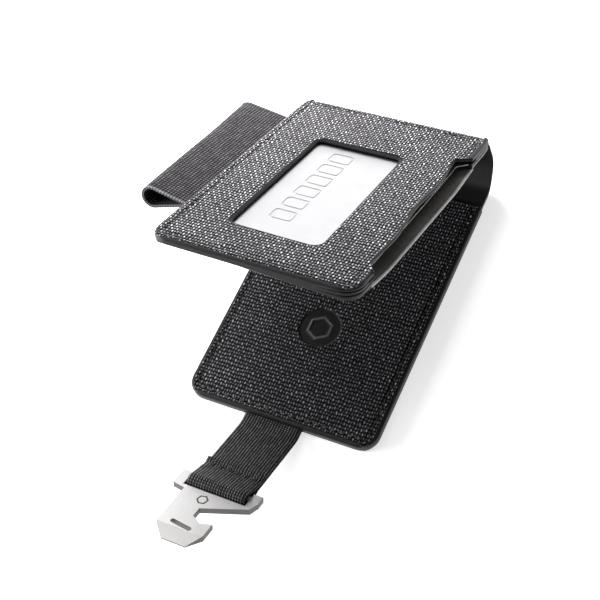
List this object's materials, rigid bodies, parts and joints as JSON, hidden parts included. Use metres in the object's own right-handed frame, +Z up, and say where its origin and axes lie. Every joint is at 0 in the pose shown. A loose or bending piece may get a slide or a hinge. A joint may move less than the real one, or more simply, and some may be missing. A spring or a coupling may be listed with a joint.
{
  "type": "bifold pen wallet",
  "caption": "Bifold wallet with a windowed card pocket, an elastic pen loop, an inner pocket and a webbing pull strap that carries a steel opener.",
  "frame": {"origin": "centre of the lower panel's underside, midway between its front edge and the first fold line", "axes": "+X along the spine, away from the pen loop's side; +Y from the front edge towards the spine; +Z up, out of the lower panel's pocket face"},
  "size_m": [0.091, 0.176, 0.0754],
  "materials": {
    "leather": "satin",
    "edge_board": "satin",
    "lining": "matte",
    "canvas_lower": "coarse weave",
    "canvas_cover": "coarse weave",
    "canvas_upper": "coarse weave",
    "thread": "matte",
    "elastic": "fine ribs",
    "webbing": "fine ribs",
    "card_metal": "brushed",
    "steel": "satin"
  },
  "bodies": {
    "lower": {"cover_lower": "canvas_cover", "lower_stiffener": "edge_board", "lower_lining": "lining", "lower_pocket": "canvas_lower", "lower_stitching": "thread"},
    "spine": {"spine_cover": "canvas_cover", "spine_lining": "lining"},
    "upper": {"window_panel": "canvas_upper", "upper_edge_strip": "edge_board", "upper_divider": "lining", "upper_inner_panel": "leather", "pen_loop": "elastic", "upper_stitching": "thread"},
    "card": {"id_card": "card_metal"},
    "strap_root": {"strap_root": "webbing"},
    "strap_middle": {"strap_middle": "webbing"},
    "strap_end": {"strap_end": "webbing", "strap_stitching": "thread"},
    "opener": {"opener": "steel"}
  },
  "joints": [
    {"name": "lower_fold", "type": "hinge", "parent": "lower", "child": "spine", "pos_m": [0, 0.056, 0.0006], "axis": [-1, 0, 0], "range_deg": [-13.5, 76.5]},
    {"name": "upper_fold", "type": "hinge", "parent": "spine", "child": "upper", "pos_m": [0, 0.06184, 0.02491], "axis": [-1, 0, 0], "range_deg": [-13.5, 76.5]},
    {"name": "card_slide", "type": "slide", "parent": "upper", "child": "card", "axis": [1, 0, 0], "range_m": [0, 0.06]},
    {"name": "strap_slide", "type": "slide", "parent": "lower", "child": "strap_root", "axis": [0, -1, 0], "range_m": [0, 0.012]},
    {"name": "strap_bend", "type": "hinge", "parent": "strap_root", "child": "strap_middle", "pos_m": [-0.001, -0.06, 0.0019], "axis": [-1, 0, 0], "range_deg": [-71, 64]},
    {"name": "strap_curl", "type": "hinge", "parent": "strap_middle", "child": "strap_end", "pos_m": [-0.001, -0.07528, 0.00935], "axis": [-1, 0, 0], "range_deg": [-70, 60]},
    {"name": "opener_swing", "type": "hinge", "parent": "strap_end", "child": "opener", "pos_m": [-0.001, -0.0894, 0.01691], "axis": [-1, 0, 0], "range_deg": [-90, 70]}
  ],
  "couplings": [
    {"joint": "upper_fold", "follows": "lower_fold", "ratio": 1}
  ]
}
